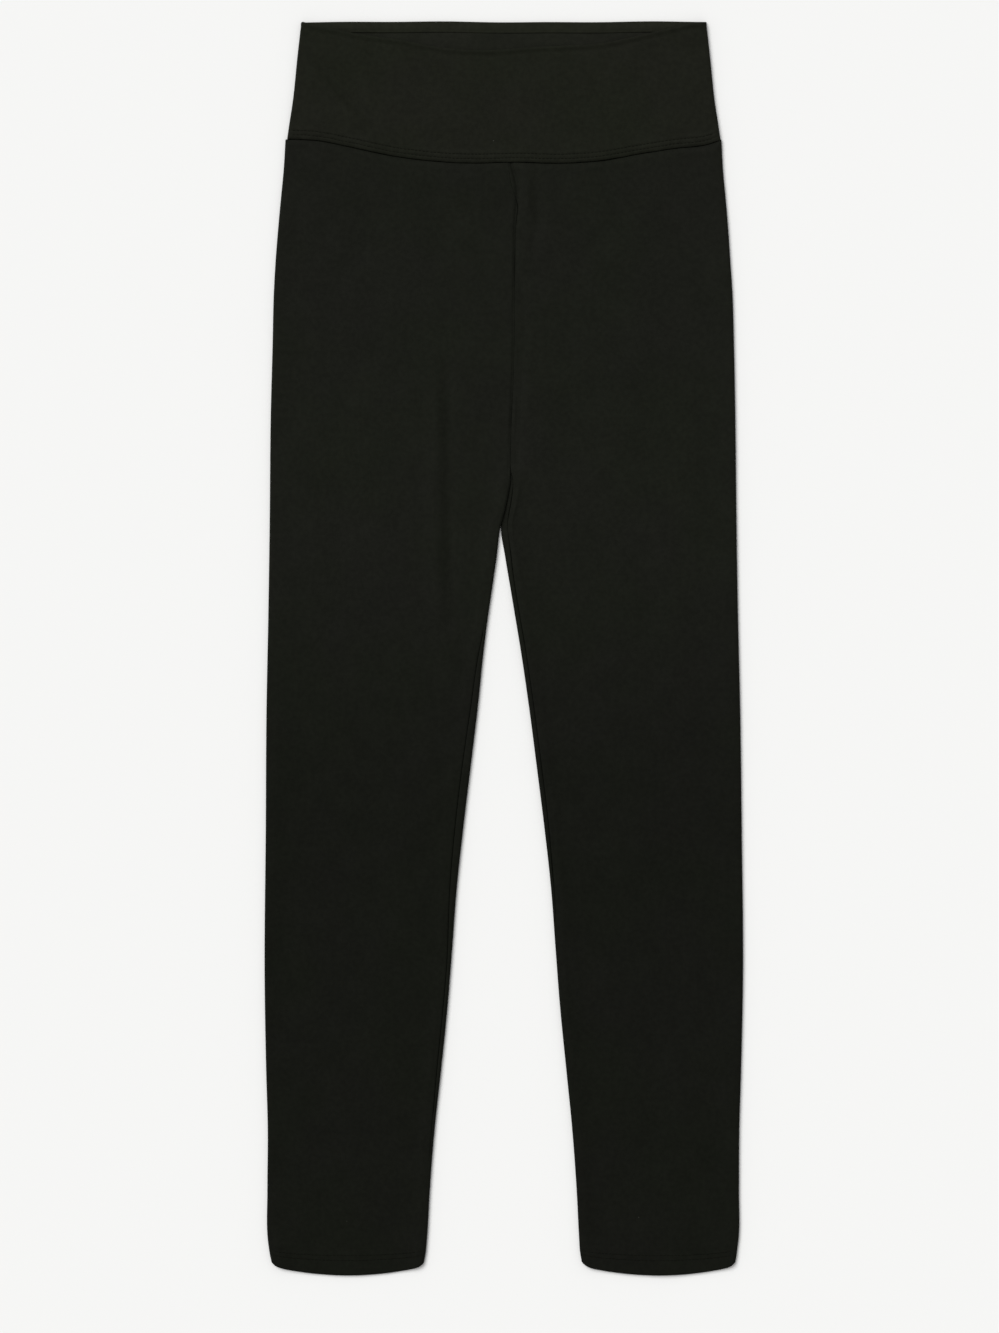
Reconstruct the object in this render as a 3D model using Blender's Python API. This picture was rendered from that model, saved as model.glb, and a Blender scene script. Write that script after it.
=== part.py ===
"""Leggings lying flat and face up, as the five pieces that are cut and sewn.

Each leg is one piece of jersey, folded at its outer side and closed by the inseam.  The
waistband is a front of double cloth, a back whose top edge is turned over to the inside,
and the back's inner cloth.  A piece is modelled as a grid of points on its outer skin, which
a Solidify modifier makes as thick as the cloth.

+X runs across the garment, +Y up to the waist and +Z up from the table.  The origin is on
the table, under the middle of the garment.  Sizes are in millimetres until a point is placed.
"""

import math
from collections import namedtuple

import bmesh
import bpy

MM = 0.001

# Driving dimensions.  "Down" is measured from the straight back edge of the waist to the hem,
# and "across" from the middle of the garment.
LENGTH = 1003.0
SEAM_GAP = 0.3
JERSEY = 1.2
BAND_FRONT_CLOTH = 1.6
BAND_BACK_CLOTH = 1.0
BAND_HEIGHT = 4.6
BAND_SIDE_RADIUS = 2.0
LIP_DEPTH = 8.0
LIP_CLOTH = 2.3
HEM_DEPTH = 20.0
HEM_CLOTH = 1.8
HEM_BOW = 7.7
HEM_BOW_STARTS = 846.0
SIDE_TOP = 0.8
SIDE_SEAM = 94.6
BACK_SEAM = 94.6
SEAM_CURVE_ENDS = 190.0
CROTCH = 356.0
CROTCH_TURN = 6.0
BLACK = (0.0112, 0.0118, 0.0088, 1.0)
ROUGHNESS = 0.9

# The front of the waist: its top edge and the seam to the legs, both lower in the middle.
Waist = namedtuple("Waist", "across top seam")
WAIST = (
    Waist(-174.0, 0.8, 94.6),
    Waist(-152.0, 3.8, 95.6),
    Waist(-120.0, 9.8, 101.4),
    Waist(-86.0, 14.8, 108.4),
    Waist(-58.0, 20.0, 112.0),
    Waist(-24.0, 23.0, 113.6),
    Waist(8.0, 22.0, 113.2),
    Waist(46.0, 19.8, 113.8),
    Waist(76.0, 18.0, 111.8),
    Waist(110.0, 11.4, 106.4),
    Waist(138.0, 4.6, 102.0),
    Waist(162.0, 0.8, 98.6),
    Waist(174.0, 0.8, 94.6),
)

# The sides of the waistband.
Side = namedtuple("Side", "down outer")
BAND_SIDES = (
    Side(0.0, 161.7),
    Side(30.0, 165.0),
    Side(62.0, 168.4),
    Side(96.0, 172.8),
)

# The seam between the legs, on the front and on the back, then the middle of their gap.
Centre = namedtuple("Centre", "down front back")
CENTRES = (
    Centre(94.0, 4.0, -6.0),
    Centre(113.0, 6.0, -6.0),
    Centre(139.0, 11.0, -6.0),
    Centre(190.0, 9.3, -5.0),
    Centre(262.0, 8.8, -3.0),
    Centre(326.0, 6.2, 2.0),
    Centre(CROTCH, 5.3, 5.3),
    Centre(374.0, 4.4, 4.4),
    Centre(388.0, 1.2, 1.2),
    Centre(402.0, -2.2, -2.2),
    Centre(454.0, -1.9, -1.9),
    Centre(502.0, -1.1, -1.1),
    Centre(550.0, -0.2, -0.2),
    Centre(LENGTH, -0.6, -0.6),
)

# One leg laid flat: its outer side and its inner edge, how far in from that edge the inseam
# lies on the front, and the height of the two layers with their rounded folds.
Leg = namedtuple("Leg", "down outer inner inseam height")
LEG = (
    Leg(SIDE_SEAM + SEAM_GAP / 2, 174.2, 0.0, 0.0, BAND_HEIGHT),
    Leg(118.0, 175.6, 0.0, 0.0, 4.5),
    Leg(142.0, 177.9, 0.0, 0.0, 4.3),
    Leg(166.0, 179.9, 0.0, 0.0, 4.1),
    Leg(190.0, 181.7, 0.0, 0.0, 4.0),
    Leg(222.0, 183.4, 0.0, 0.0, 3.8),
    Leg(262.0, 184.5, 0.0, 0.0, 3.6),
    Leg(310.0, 185.5, 0.0, 0.0, 3.6),
    Leg(CROTCH - CROTCH_TURN, 186.1, 0.0, 0.0, 3.6),
    Leg(CROTCH, 186.2, 0.0, 0.0, 3.6),
    Leg(CROTCH + CROTCH_TURN, 186.3, 0.15, 2.4, 3.6),
    Leg(374.0, 186.4, 0.15, 2.5, 3.6),
    Leg(388.0, 186.5, 0.15, 2.6, 3.6),
    Leg(402.0, 186.7, 0.15, 2.7, 3.6),
    Leg(416.0, 186.9, 1.9, 2.8, 3.6),
    Leg(430.0, 187.0, 3.6, 2.9, 3.6),
    Leg(478.0, 187.8, 11.1, 3.3, 3.6),
    Leg(526.0, 188.8, 17.8, 4.4, 3.6),
    Leg(574.0, 189.6, 23.7, 5.2, 3.6),
    Leg(646.0, 190.3, 32.5, 5.4, 3.6),
    Leg(718.0, 190.8, 39.6, 4.6, 3.6),
    Leg(766.0, 191.2, 43.2, 3.4, 3.6),
    Leg(HEM_BOW_STARTS, 189.6, 50.8, 3.2, 3.6),
    Leg(910.0, 188.5, 56.9, 3.0, 3.8),
    Leg(LENGTH - HEM_BOW - HEM_DEPTH - 0.6, 188.2, 60.6, 3.0, 4.2),
    Leg(LENGTH - HEM_BOW - HEM_DEPTH, 188.1, 60.7, 3.0, 4.2),
    Leg(986.0, 187.0, 61.6, 3.0, 4.2),
    Leg(LENGTH - HEM_BOW, 186.0, 63.4, 2.9, 4.0),
)

# Where points lie along a layer, as shares of its width, closer together at the folds.
SHARES = (0.0, 0.12, 0.25, 0.38, 0.5, 0.62, 0.75, 0.88, 0.97, 1.0)
ARC_STEPS = 4
CURL_STEPS = 5

# A point of a leg's section: across, up from the table, and 1 on the front or 0 elsewhere.
SkinPoint = namedtuple("SkinPoint", "across up front")


def remove_startup_objects():
    """Empty the scene."""
    for existing in list(bpy.data.objects):
        bpy.data.objects.remove(existing, do_unlink=True)


def mix(a, b, share):
    """The value that lies a share of the way from a to b."""
    return a + (b - a) * share


def ease(value, start, end):
    """0 before start and 1 after end, with a soft slope between them."""
    share = min(1.0, max(0.0, (value - start) / (end - start)))
    return share * share * (3.0 - 2.0 * share)


def slope(rows, key, column, index):
    """The slope of a table's column at one row, from the rows beside it."""
    before = rows[max(0, index - 1)]
    after = rows[min(len(rows) - 1, index + 1)]
    rise = getattr(after, column) - getattr(before, column)
    return rise / (getattr(after, key) - getattr(before, key))


def read(rows, key, column, at):
    """A column's value where the key column is at, on a smooth curve through the rows."""
    at = min(getattr(rows[-1], key), max(getattr(rows[0], key), at))
    index = 0
    while index < len(rows) - 2 and getattr(rows[index + 1], key) < at:
        index += 1
    low = getattr(rows[index], key)
    span = getattr(rows[index + 1], key) - low
    t = (at - low) / span
    start = getattr(rows[index], column)
    end = getattr(rows[index + 1], column)
    start_pull = slope(rows, key, column, index) * span
    end_pull = slope(rows, key, column, index + 1) * span
    return (
        start * (1.0 + 2.0 * t) * (1.0 - t) ** 2
        + start_pull * t * (1.0 - t) ** 2
        + end * t * t * (3.0 - 2.0 * t)
        + end_pull * t * t * (t - 1.0)
    )


def place(across, down, up):
    """A point of the garment in metres, in its own frame."""
    return (across * MM, (LENGTH / 2 - down) * MM, up * MM)


def fabric(name):
    """Matt black jersey with a slight olive cast."""
    material = bpy.data.materials.new(name)
    material.use_nodes = True
    shader = material.node_tree.nodes["Principled BSDF"]
    shader.inputs["Base Color"].default_value = BLACK
    shader.inputs["Roughness"].default_value = ROUGHNESS
    shader.inputs["Metallic"].default_value = 0.0
    return material


def cloth(name, grid, wall, walls=None, origin=(0.0, 0.0, 0.0), parent=None):
    """Turn a grid of outer-skin points into a solid piece of cloth.

    grid holds rows from the waist down, each from one edge of the piece to the other, so
    that the quads face out of the cloth.  walls gives each point's own thickness; without
    it the whole piece is as thick as wall.
    """
    mesh = bpy.data.meshes.new(name)
    columns = len(grid[0])
    model = bmesh.new()
    for row in grid:
        for point in row:
            model.verts.new([value - shift for value, shift in zip(point, origin)])
    model.verts.ensure_lookup_table()
    for row in range(len(grid) - 1):
        for column in range(columns - 1):
            first = row * columns + column
            corners = (first, first + columns, first + columns + 1, first + 1)
            model.faces.new([model.verts[corner] for corner in corners])
    model.to_mesh(mesh)
    model.free()
    mesh.shade_smooth()
    mesh.set_sharp_from_angle(angle=math.radians(50.0))
    mesh.materials.append(fabric(name))

    piece = bpy.data.objects.new(name, mesh)
    bpy.context.scene.collection.objects.link(piece)
    piece.location = origin
    piece.parent = parent
    solidify = piece.modifiers.new("cloth", "SOLIDIFY")
    solidify.thickness = wall * MM
    solidify.offset = -1.0
    solidify.use_even_offset = True
    if walls:
        group = piece.vertex_groups.new(name="thickness")
        thickest = max(max(row) for row in walls)
        solidify.thickness = thickest * MM
        solidify.vertex_group = group.name
        solidify.thickness_vertex_group = 0.0
        flat_walls = [value for row in walls for value in row]
        for index, value in enumerate(flat_walls):
            group.add([index], value / thickest, "REPLACE")
    return piece


def curl(side, inner, height, angle):
    """The leg's inner fold, from its start on the table to its end, as across and up.

    angle is how far the cloth has turned up: none above the crotch, where it lies flat, and
    half a turn where the leg is a closed tube.
    """
    length = math.pi * height / 2
    radius = length / angle if angle else 0.0
    reach = {0.0: length, math.pi / 2: radius, math.pi: radius}[angle]
    start = inner + side * reach
    for step in range(CURL_STEPS + 1):
        turned = angle * step / CURL_STEPS
        along = radius * math.sin(turned) if angle else length * step / CURL_STEPS
        yield start - side * along, radius * (1.0 - math.cos(turned))


def closed_fold(side, inner, height, inseam):
    """The inner fold of a closed tube, with the strip of front cloth up to the inseam."""
    radius = height / 2
    for step in range(ARC_STEPS + 1):
        turned = math.pi * step / ARC_STEPS
        yield inner + side * radius * (1.0 - math.sin(turned)), radius * (1.0 - math.cos(turned))
    yield inner + side * (inseam - SEAM_GAP / 2), height


def leg_section(side, row):
    """The outer skin of one leg at one row, from the front edge round to the back edge."""
    radius = row.height / 2
    front_centre = read(CENTRES, "down", "front", row.down)
    back_centre = read(CENTRES, "down", "back", row.down)
    outer_turn = side * (row.outer - radius)
    if row.down < CROTCH:
        front_edge = front_centre + side * SEAM_GAP / 2
        fold = list(curl(side, back_centre + side * SEAM_GAP / 2, row.height, 0.0))
    elif row.down == CROTCH:
        front_edge = front_centre + side * (1.5 * SEAM_GAP + JERSEY)
        fold = list(curl(side, front_centre + side * SEAM_GAP / 2, row.height, math.pi / 2))
    else:
        inner = front_centre + side * row.inner
        front_edge = inner + side * (row.inseam + SEAM_GAP / 2)
        fold = list(closed_fold(side, inner, row.height, row.inseam))

    section = [SkinPoint(mix(front_edge, outer_turn, share), row.height, 1.0) for share in SHARES]
    for step in range(1, ARC_STEPS):
        turned = math.pi * step / ARC_STEPS
        across = outer_turn + side * radius * math.sin(turned)
        section.append(SkinPoint(across, radius * (1.0 + math.cos(turned)), 0.0))
    back_turn = fold[0][0]
    for share in SHARES[:-1]:
        section.append(SkinPoint(mix(outer_turn, back_turn, share), 0.0, 0.0))
    section.extend(SkinPoint(across, up, 0.0) for across, up in fold)
    return section


def leg_down(row, point):
    """How far down a point lies: rows bend along the front's waist seam and bow at the hem."""
    seam_dip = read(WAIST, "across", "seam", point.across) - SIDE_SEAM
    near_waist = 1.0 - ease(row.down, SIDE_SEAM, SEAM_CURVE_ENDS)
    half_width = (row.outer - row.inner) / 2
    off_middle = (abs(point.across) - row.inner - half_width) / half_width
    bow = HEM_BOW * max(0.0, 1.0 - off_middle**2)
    near_hem = ease(row.down, HEM_BOW_STARTS, LENGTH - HEM_BOW - HEM_DEPTH)
    return row.down + point.front * seam_dip * near_waist + bow * near_hem


def leg(name, side, parent):
    """One leg: an open section folded at the outer side above the crotch, a tube below it."""
    grid = []
    walls = []
    for row in LEG:
        section = leg_section(side, row)
        if side < 0:
            section.reverse()
        in_hem = row.down >= LENGTH - HEM_BOW - HEM_DEPTH
        grid.append([place(p.across, leg_down(row, p), p.up) for p in section])
        walls.append([HEM_CLOTH if in_hem else JERSEY] * len(section))
    origin = place(side * LEG[0].outer / 2, SIDE_SEAM, 0.0)
    return cloth(name, grid, JERSEY, walls, origin, parent)


def band_across(outer):
    """Positions across a waistband layer, at the same shares of each half as on the legs."""
    half = outer - BAND_SIDE_RADIUS
    left = [-half * share for share in reversed(SHARES)]
    return left + [half * share for share in SHARES[1:]]


def band_side(outer):
    """One rounded side of a waistband layer: across, and how far the skin has turned in."""
    for step in range(1, ARC_STEPS + 1):
        turned = math.pi / 2 * step / ARC_STEPS
        across = outer - BAND_SIDE_RADIUS * (1.0 - math.sin(turned))
        yield across, BAND_SIDE_RADIUS * (1.0 - math.cos(turned))
    yield outer, (BAND_HEIGHT - SEAM_GAP) / 2


def band_front(parent):
    """The front: double cloth, its side edges turned down to meet the back."""
    rows = 5
    grid = []
    for index in range(rows):
        share = index / (rows - 1)
        side_down = mix(SIDE_TOP, SIDE_SEAM - SEAM_GAP / 2, share)
        outer = read(BAND_SIDES, "down", "outer", side_down)
        line = []
        for across in band_across(outer):
            top = read(WAIST, "across", "top", across)
            seam = read(WAIST, "across", "seam", across) - SEAM_GAP / 2
            line.append((across, mix(top, seam, share), BAND_HEIGHT))
        for across, turned_in in band_side(outer):
            line.append((across, side_down, BAND_HEIGHT - turned_in))
            line.insert(0, (-across, side_down, BAND_HEIGHT - turned_in))
        grid.append([place(*point) for point in line])
    origin = place(0.0, SIDE_SEAM, 0.0)
    return cloth("waistband_front", grid, BAND_FRONT_CLOTH, origin=origin, parent=parent)


def band_back(parent):
    """The back: one layer on the table, its sides turned up and its top edge doubled."""
    downs = (0.0, LIP_DEPTH, LIP_DEPTH + 0.5, 36.0, 66.0, BACK_SEAM - SEAM_GAP / 2)
    grid = []
    walls = []
    for down in downs:
        outer = read(BAND_SIDES, "down", "outer", down)
        line = [(across, down, 0.0) for across in reversed(band_across(outer))]
        doubled = LIP_CLOTH if down <= LIP_DEPTH else BAND_BACK_CLOTH
        wall = [BAND_BACK_CLOTH] + [doubled] * (len(line) - 2) + [BAND_BACK_CLOTH]
        for across, turned_in in band_side(outer):
            line.append((-across, down, turned_in))
            line.insert(0, (across, down, turned_in))
            wall = [BAND_BACK_CLOTH] + wall + [BAND_BACK_CLOTH]
        grid.append([place(*point) for point in line])
        walls.append(wall)
    origin = place(0.0, BACK_SEAM, 0.0)
    return cloth("waistband_back", grid, BAND_BACK_CLOTH, walls, origin, parent)


def band_back_facing(parent):
    """The back's inner cloth, from under the turned-over edge down to the seam."""
    up = SEAM_GAP + 2.0 * BAND_BACK_CLOTH
    grid = []
    for down in (LIP_DEPTH + 0.5 + SEAM_GAP, 36.0, 66.0, BACK_SEAM - SEAM_GAP / 2):
        outer = read(BAND_SIDES, "down", "outer", down)
        line = [(across * 0.998, down, up) for across in band_across(outer)]
        grid.append([place(*point) for point in line])
    origin = place(0.0, BACK_SEAM, 0.0)
    return cloth("waistband_back_facing", grid, BAND_BACK_CLOTH, origin=origin, parent=parent)


def main():
    """Build the leggings under one empty."""
    remove_startup_objects()
    garment = bpy.data.objects.new("leggings", None)
    bpy.context.scene.collection.objects.link(garment)
    leg("leg_right", -1, garment)
    leg("leg_left", 1, garment)
    band_front(garment)
    band_back(garment)
    band_back_facing(garment)


main()
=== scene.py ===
"""Leggings laid flat and face up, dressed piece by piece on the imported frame.

Every piece of cloth is a thin closed shell on its solid's form.  A shell's outer skin is a
grid that is worked out from the garment's own sizes, then thickened and given round edges.
Creases, seams and stitch rows are parts of that skin or small meshes laid on it.

Sizes are in millimetres: "across" runs from the middle of the garment towards the wearer's
left, "down" from the straight back edge of the waist to the hem, and "up" from the table.
"""

import logging
import math
from collections.abc import Sequence
from dataclasses import dataclass, field
from enum import Enum

import bpy
import numpy as np
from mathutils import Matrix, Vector

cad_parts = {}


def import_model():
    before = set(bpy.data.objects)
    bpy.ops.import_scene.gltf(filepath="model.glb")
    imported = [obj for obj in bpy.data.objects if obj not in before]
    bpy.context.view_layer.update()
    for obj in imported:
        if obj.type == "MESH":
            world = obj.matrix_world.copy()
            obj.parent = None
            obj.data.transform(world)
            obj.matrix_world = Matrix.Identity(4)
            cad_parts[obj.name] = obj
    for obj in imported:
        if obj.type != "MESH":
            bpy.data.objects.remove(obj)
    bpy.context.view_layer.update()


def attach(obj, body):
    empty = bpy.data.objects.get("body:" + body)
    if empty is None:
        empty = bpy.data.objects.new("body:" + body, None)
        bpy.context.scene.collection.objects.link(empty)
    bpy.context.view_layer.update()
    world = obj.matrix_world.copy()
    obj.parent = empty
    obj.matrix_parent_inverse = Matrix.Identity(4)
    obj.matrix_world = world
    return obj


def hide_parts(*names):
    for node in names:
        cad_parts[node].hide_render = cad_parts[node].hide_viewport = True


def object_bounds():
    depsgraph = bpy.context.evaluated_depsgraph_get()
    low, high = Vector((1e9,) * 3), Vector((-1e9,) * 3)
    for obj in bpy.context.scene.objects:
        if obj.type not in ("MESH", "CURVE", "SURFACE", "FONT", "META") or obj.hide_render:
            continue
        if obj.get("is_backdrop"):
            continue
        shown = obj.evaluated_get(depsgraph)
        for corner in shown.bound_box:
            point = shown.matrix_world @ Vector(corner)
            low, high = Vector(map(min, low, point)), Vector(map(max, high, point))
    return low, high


LOG = logging.getLogger("leggings")

MM = 0.001
Array = np.ndarray


class Side(Enum):
    """The wearer's side of the body, with the sign of its positions across."""

    RIGHT = -1
    LEFT = 1


class Slot(Enum):
    """The material slots of the record."""

    LEG = "leg_jersey"
    WAISTBAND = "waistband_jersey"
    FACING = "facing_jersey"


# --------------------------------------------------------------------------------------
# Curves, easing and creases
# --------------------------------------------------------------------------------------


def ease(value: Array | float, start: float, end: float) -> Array:
    """A soft step.

    Args:
        value: Where to read the step.
        start: The value up to which the step is 0.
        end: The value from which the step is 1.

    Returns:
        The step's height, 0 to 1.
    """
    share = np.clip((np.asarray(value, float) - start) / (end - start), 0.0, 1.0)
    return share * share * (3.0 - 2.0 * share)


def hump(distance: Array, width: float) -> Array:
    """A soft hump of height 1 that falls away over about width on both sides.

    Args:
        distance: Distances from the hump's middle.
        width: The distance at which about a third of the height is left.

    Returns:
        The hump's height at each distance.
    """
    return np.exp(-((distance / width) ** 2))


def pucker(across: Array) -> Array:
    """How unevenly a stitched seam draws in along its length, about 1 on the whole."""
    return 1.0 + 0.38 * np.sin(across / 4.7) * np.sin(across / 17.0 + 1.0) + 0.14 * np.sin(across / 2.1)


@dataclass(frozen=True)
class Profile:
    """A smooth curve through a few named points, such as an edge of the garment."""

    at: Sequence[float]
    value: Sequence[float]

    def __call__(self, position: Array | float) -> Array:
        """Read the curve.

        Args:
            position: Where to read it; positions past the ends read the end values.

        Returns:
            The curve's value at each position.
        """
        knots = np.asarray(self.at, float)
        heights = np.asarray(self.value, float)
        slopes = np.gradient(heights, knots)
        where = np.clip(np.asarray(position, float), knots[0], knots[-1])
        index = np.clip(np.searchsorted(knots, where) - 1, 0, len(knots) - 2)
        span = knots[index + 1] - knots[index]
        t = (where - knots[index]) / span
        return (
            heights[index] * (1.0 + 2.0 * t) * (1.0 - t) ** 2
            + slopes[index] * span * t * (1.0 - t) ** 2
            + heights[index + 1] * t * t * (3.0 - 2.0 * t)
            + slopes[index + 1] * span * t * t * (t - 1.0)
        )


@dataclass(frozen=True)
class Crease:
    """A soft trough or ridge along a route of (across, down) points.

    lift is its height at the middle of the route, negative for a trough.  width is the
    half-width of its cross-section and rim the height of the softer bank beside it, on
    the side that lean names: 1 for the greater across, -1 for the lesser.
    """

    route: Sequence[tuple[float, float]]
    lift: float
    width: float
    rim: float = 0.0
    lean: int = 1
    fade: float = 0.35

    def height(self, across: Array, down: Array) -> Array:
        """The crease's height at each place.

        Args:
            across: Positions across.
            down: Positions down.

        Returns:
            The height to add to the cloth.
        """
        points = np.asarray(self.route, float)
        steps = np.linalg.norm(np.diff(points, axis=0), axis=1)
        reach = np.concatenate(([0.0], np.cumsum(steps)))
        nearest = np.full(across.shape, 1e9)
        along = np.zeros(across.shape)
        offset = np.zeros(across.shape)
        for start, end, step, passed in zip(points[:-1], points[1:], steps, reach):
            direction = (end - start) / step
            gone = (across - start[0]) * direction[0] + (down - start[1]) * direction[1]
            held = np.clip(gone, 0.0, step)
            side_x = across - start[0] - held * direction[0]
            side_d = down - start[1] - held * direction[1]
            distance = np.hypot(side_x, side_d)
            closer = distance < nearest
            nearest = np.where(closer, distance, nearest)
            along = np.where(closer, passed + gone, along)
            offset = np.where(closer, side_x, offset)
        share = along / reach[-1]
        ends = ease(share, 0.0, self.fade) * (1.0 - ease(share, 1.0 - self.fade, 1.0))
        signed = nearest * np.where(offset * self.lean >= 0.0, 1.0, -1.0)
        bank = self.rim * hump(signed - 2.1 * self.width, 1.3 * self.width)
        return ends * (self.lift * hump(nearest, self.width) + bank)


@dataclass(frozen=True)
class Ripple:
    """A faint regular wave, several of which together make cloth lie unevenly."""

    height: float
    length: float
    heading: float
    phase: float

    def lift(self, across: Array, down: Array) -> Array:
        """The wave's height at each place."""
        turned = across * math.cos(self.heading) + down * math.sin(self.heading)
        return self.height * np.sin(2.0 * math.pi * turned / self.length + self.phase)


RIPPLES = (
    Ripple(0.10, 143.0, 0.35, 0.4),
    Ripple(0.09, 97.0, 1.25, 2.1),
    Ripple(0.07, 61.0, 0.12, 1.2),
    Ripple(0.05, 43.0, -0.85, 4.0),
    Ripple(0.035, 27.0, 0.55, 5.3),
    Ripple(0.025, 19.0, -0.25, 0.9),
)


def ripples(across: Array, down: Array) -> Array:
    """The cloth's uneven lie: all the faint waves together."""
    return sum(wave.lift(across, down) for wave in RIPPLES)


# --------------------------------------------------------------------------------------
# Shells
# --------------------------------------------------------------------------------------


@dataclass
class Lay:
    """Where the garment lies in the frame."""

    top: float
    floor: float
    middle: float

    @classmethod
    def from_frame(cls) -> "Lay":
        """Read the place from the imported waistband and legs."""
        low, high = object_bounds()
        return cls(top=high.y, floor=low.z, middle=(low.x + high.x) / 2)

    def place(self, across: Array, down: Array, up: Array) -> Array:
        """Positions in the frame.

        Args:
            across: Millimetres across.
            down: Millimetres down.
            up: Millimetres up from the table.

        Returns:
            Points in metres, with a last axis of x, y and z.
        """
        across, down, up = np.broadcast_arrays(across, down, up)
        return np.stack(
            (self.middle + across * MM, self.top - down * MM, self.floor + up * MM), axis=-1
        )


def unit(vectors: Array) -> Array:
    """The same vectors at length 1."""
    length = np.linalg.norm(vectors, axis=-1, keepdims=True)
    return vectors / np.maximum(length, 1e-12)


@dataclass
class Shell:
    """A closed shell of cloth with round edges, from a grid of points on its outer skin.

    skin holds rows by columns of points in metres, wound so that its quads face out, and
    wall the thickness at each of them.
    """

    name: str
    skin: Array
    wall: Array
    edge_steps: int = 3

    def normals(self) -> tuple[Array, Array, Array]:
        """The skin's outward normals, with its directions along columns and rows."""
        along_row = unit(np.gradient(self.skin, axis=1))
        along_column = unit(np.gradient(self.skin, axis=0))
        return unit(np.cross(along_column, along_row)), along_row, along_column

    def perimeter(self) -> tuple[Array, Array]:
        """The border's row and column indices, in order round the grid."""
        rows, columns = self.skin.shape[:2]
        down = np.arange(rows)
        out = np.arange(columns)
        row = np.concatenate(
            (np.zeros(columns - 1), down[:-1], np.full(columns - 1, rows - 1), down[:0:-1])
        )
        column = np.concatenate(
            (out[:-1], np.full(rows - 1, columns - 1), out[:0:-1], np.zeros(rows - 1))
        )
        return row.astype(int), column.astype(int)

    def flat_positions(self) -> Array:
        """How far each point lies along the cloth, across and down, in metres."""
        steps_out = np.linalg.norm(np.diff(self.skin, axis=1), axis=2)
        steps_down = np.linalg.norm(np.diff(self.skin, axis=0), axis=2)
        out = np.concatenate((np.zeros((len(self.skin), 1)), np.cumsum(steps_out, axis=1)), axis=1)
        middle = self.skin.shape[1] // 2
        down = np.concatenate(([0.0], np.cumsum(steps_down[:, middle])))
        out -= out[:, middle : middle + 1]
        return np.stack((out, np.broadcast_to(down[:, None], out.shape)), axis=-1)

    def build(self, material: bpy.types.Material) -> bpy.types.Object:
        """Make the shell's object.

        Args:
            material: The finish of the cloth.

        Returns:
            The new object.
        """
        normal, along_row, along_column = self.normals()
        half = self.wall[..., None] / 2
        rows, columns = self.skin.shape[:2]
        count = rows * columns
        row, column = self.perimeter()
        outward = np.zeros_like(self.skin)
        outward[0] -= along_column[0]
        outward[-1] += along_column[-1]
        outward[:, 0] -= along_row[:, 0]
        outward[:, -1] += along_row[:, -1]
        edge_out = unit(outward[row, column])
        edge_up = normal[row, column]
        middle = (self.skin - normal * half)[row, column]
        edge_half = half[row, column]
        rings = []
        for step in range(1, self.edge_steps + 1):
            turned = math.pi * step / (self.edge_steps + 1)
            swing = math.cos(turned) * edge_up + math.sin(turned) * edge_out
            rings.append(middle + edge_half * swing)
        points = np.concatenate(
            [self.skin.reshape(-1, 3), (self.skin - 2.0 * half * normal).reshape(-1, 3), *rings]
        )

        grid = np.arange(count).reshape(rows, columns)
        quads = np.stack((grid[:-1, :-1], grid[1:, :-1], grid[1:, 1:], grid[:-1, 1:]), axis=-1)
        quads = quads.reshape(-1, 4)
        inside = quads[:, ::-1] + count
        loops = [grid[row, column]]
        loops += [2 * count + ring * len(row) + np.arange(len(row)) for ring in range(len(rings))]
        loops.append(grid[row, column] + count)
        edges = [
            np.stack((upper, np.roll(upper, -1), np.roll(lower, -1), lower), axis=-1)
            for upper, lower in zip(loops[:-1], loops[1:])
        ]
        faces = np.concatenate([quads, inside, *edges])

        mesh = bpy.data.meshes.new(self.name)
        mesh.from_pydata(points.tolist(), [], faces.tolist())
        flat = self.flat_positions().reshape(-1, 2)
        flat = np.concatenate([flat, flat, *[flat[grid[row, column]]] * len(rings)])
        layer = mesh.uv_layers.new(name="Cloth")
        corners = np.zeros(len(mesh.loops), np.int32)
        mesh.loops.foreach_get("vertex_index", corners)
        layer.data.foreach_set("uv", flat[corners].ravel())
        mesh.shade_smooth()
        mesh.materials.append(material)
        mesh.validate()
        piece = bpy.data.objects.new(self.name, mesh)
        bpy.context.scene.collection.objects.link(piece)
        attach(piece, "root")
        return piece


# --------------------------------------------------------------------------------------
# Finishes
# --------------------------------------------------------------------------------------


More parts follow.
